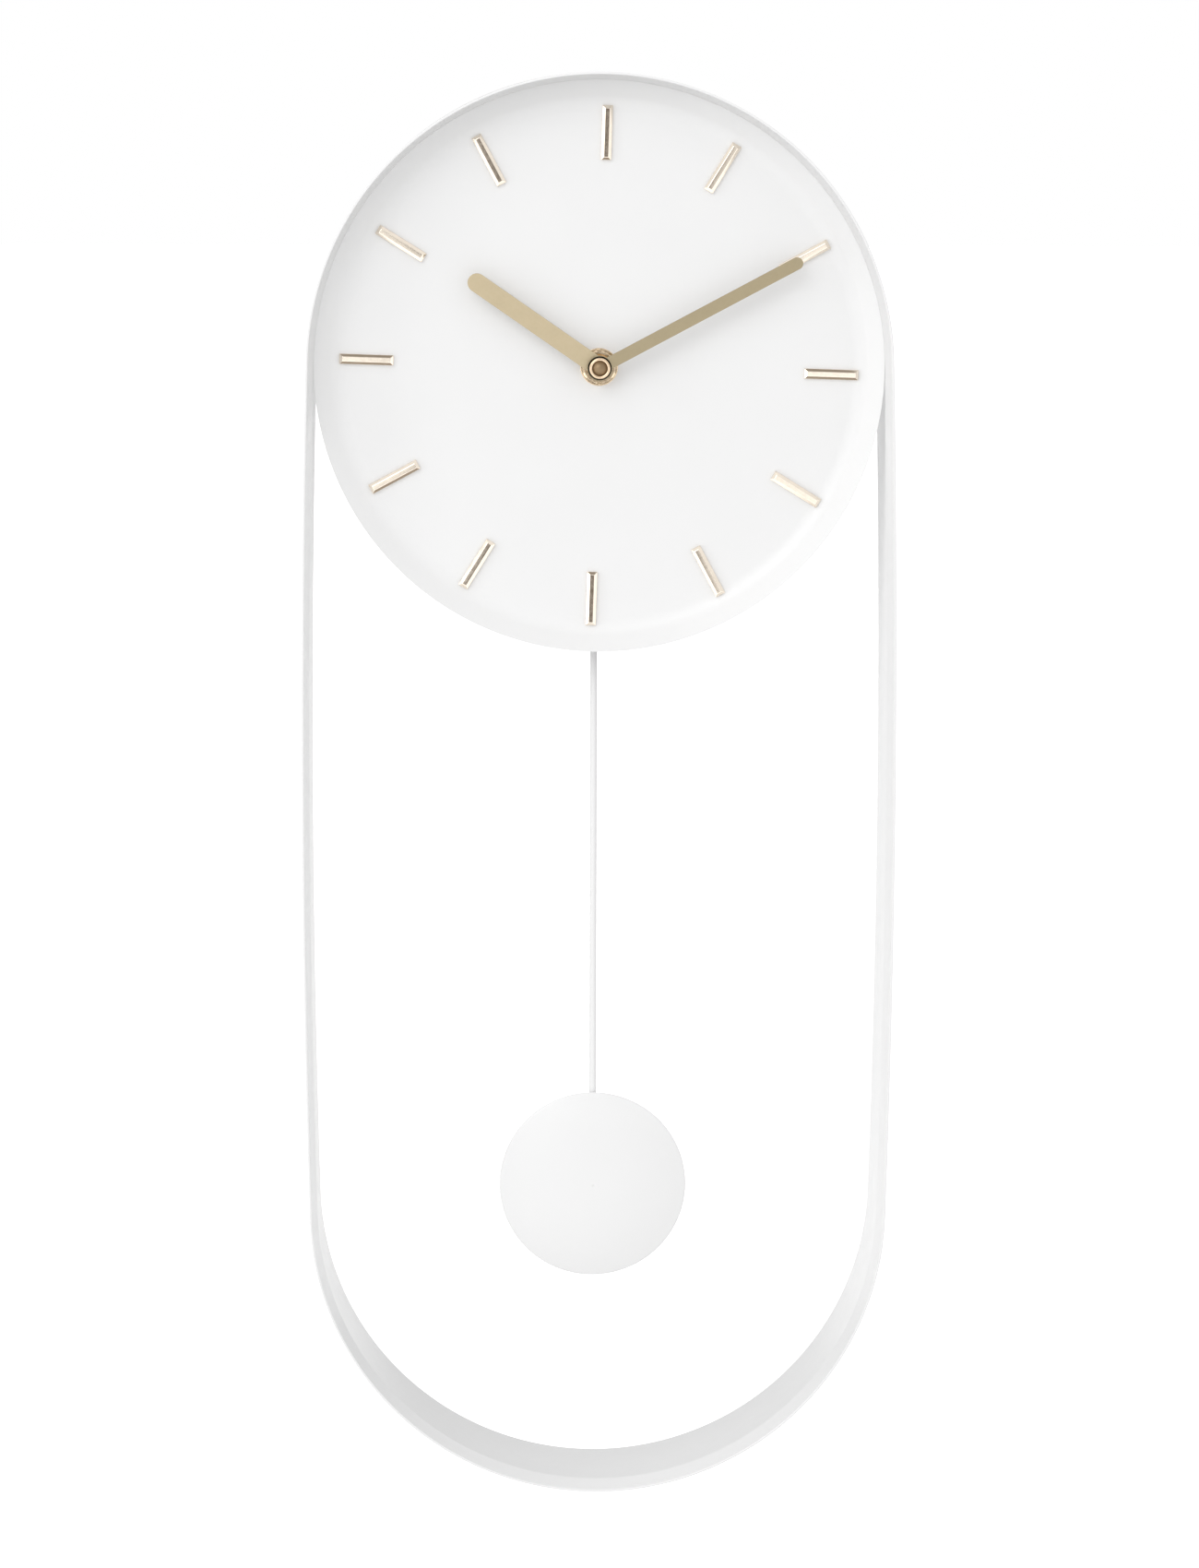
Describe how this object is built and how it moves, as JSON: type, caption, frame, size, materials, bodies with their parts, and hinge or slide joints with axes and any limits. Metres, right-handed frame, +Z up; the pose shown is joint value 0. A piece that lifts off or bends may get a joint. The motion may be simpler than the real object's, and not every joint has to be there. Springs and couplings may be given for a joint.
{
  "type": "pendulum wall clock",
  "caption": "Pendulum wall clock: a white steel loop holding a dish dial with bar markers, two champagne hands, a battery movement and a disc bob on a rod.",
  "frame": {"origin": "middle of the hanger bar's keyhole entry, on the wall plane", "axes": "+Z up the loop, +Y towards the wall, the dial faces -Y, +X to the right as seen from the front"},
  "size_m": [0.204, 0.048, 0.492],
  "materials": {
    "white_lacquer": "satin white powder coat",
    "champagne_gloss": "polished champagne plating",
    "champagne_matte": "matte champagne paint",
    "brass": "polished brass",
    "zinc_steel": "zinc plated",
    "black_plastic": "fine moulded texture",
    "white_plastic": "moulded acetal",
    "rubber": "matte",
    "cell_jacket": "printed-foil jacket, no marks",
    "nickel": "nickel plated",
    "board_green": "solder mask",
    "copper_wire": "enamelled wire",
    "magnet": "sintered"
  },
  "bodies": {
    "clock_case": {"band_frame": "white_lacquer", "dial_dish": "white_lacquer", "hour_markers": "champagne_gloss", "hanger_bar": "zinc_steel", "side_tabs": "zinc_steel", "dish_studs": "zinc_steel", "stud_screws": "zinc_steel", "threaded_bush": "brass", "rubber_gasket": "rubber", "brass_washer": "brass", "hex_nut": "brass", "movement_case": "black_plastic", "movement_cover": "black_plastic", "pendulum_cover": "black_plastic", "battery": "cell_jacket", "contact_plus": "nickel", "contact_minus": "nickel", "circuit_board": "board_green", "quartz_crystal": "nickel", "stator": "nickel", "coil_bobbin": "white_plastic", "coil_winding": "copper_wire", "drive_bobbin": "white_plastic", "drive_winding": "copper_wire", "pivot_pin": "zinc_steel"},
    "minute_works": {"minute_arbor": "brass", "minute_hand": "champagne_matte", "hand_nut": "brass"},
    "hour_works": {"hour_wheel": "white_plastic", "hour_hand": "champagne_matte"},
    "minute_gear": {"minute_wheel": "white_plastic"},
    "knob": {"setting_knob": "white_plastic"},
    "seconds_gear": {"seconds_wheel": "white_plastic"},
    "third_gear": {"third_wheel": "white_plastic"},
    "centre_gear": {"centre_wheel": "white_plastic"},
    "fifth_gear": {"fifth_wheel": "white_plastic"},
    "rotor": {"rotor_magnet": "magnet", "rotor_pinion": "white_plastic"},
    "pendulum": {"pendulum_lever": "white_plastic", "pendulum_magnet": "magnet", "pendulum_rod": "white_lacquer", "bob": "white_lacquer", "bob_clip": "white_lacquer"}
  },
  "joints": [
    {"name": "minute_turn", "type": "hinge", "parent": "clock_case", "child": "minute_works", "pos_m": [0, -0.036, -0.058], "axis": [0, 1, 0], "continuous": true},
    {"name": "hour_turn", "type": "hinge", "parent": "clock_case", "child": "hour_works", "pos_m": [0, -0.033, -0.058], "axis": [0, 1, 0], "continuous": true},
    {"name": "minute_wheel_turn", "type": "hinge", "parent": "clock_case", "child": "minute_gear", "pos_m": [-0.01039, -0.021, -0.052], "axis": [0, 1, 0], "continuous": true},
    {"name": "knob_turn", "type": "hinge", "parent": "clock_case", "child": "knob", "pos_m": [-0.01714, -0.021, -0.04031], "axis": [0, 1, 0], "continuous": true},
    {"name": "seconds_turn", "type": "hinge", "parent": "clock_case", "child": "seconds_gear", "pos_m": [0.01632, -0.021, -0.05138], "axis": [0, 1, 0], "continuous": true},
    {"name": "third_turn", "type": "hinge", "parent": "clock_case", "child": "third_gear", "pos_m": [0.00694, -0.021, -0.04973], "axis": [0, 1, 0], "continuous": true},
    {"name": "centre_turn", "type": "hinge", "parent": "clock_case", "child": "centre_gear", "pos_m": [0, -0.024, -0.058], "axis": [0, 1, 0], "continuous": true},
    {"name": "fifth_turn", "type": "hinge", "parent": "clock_case", "child": "fifth_gear", "pos_m": [0.01486, -0.021, -0.04311], "axis": [0, 1, 0], "continuous": true},
    {"name": "rotor_turn", "type": "hinge", "parent": "clock_case", "child": "rotor", "pos_m": [0.02206, -0.021, -0.04311], "axis": [0, 1, 0], "continuous": true},
    {"name": "pendulum_swing", "type": "hinge", "parent": "clock_case", "child": "pendulum", "pos_m": [-0.0013, -0.018, -0.094], "axis": [0, 1, 0], "range_deg": [-10, 10]}
  ],
  "couplings": [
    {"joint": "minute_wheel_turn", "follows": "minute_turn", "ratio": -0.33333},
    {"joint": "hour_turn", "follows": "minute_turn", "ratio": 0.083333},
    {"joint": "knob_turn", "follows": "minute_turn", "ratio": 0.66667},
    {"joint": "third_turn", "follows": "seconds_turn", "ratio": -0.13333},
    {"joint": "centre_turn", "follows": "seconds_turn", "ratio": 0.016667},
    {"joint": "fifth_turn", "follows": "seconds_turn", "ratio": -6},
    {"joint": "rotor_turn", "follows": "seconds_turn", "ratio": 30}
  ]
}
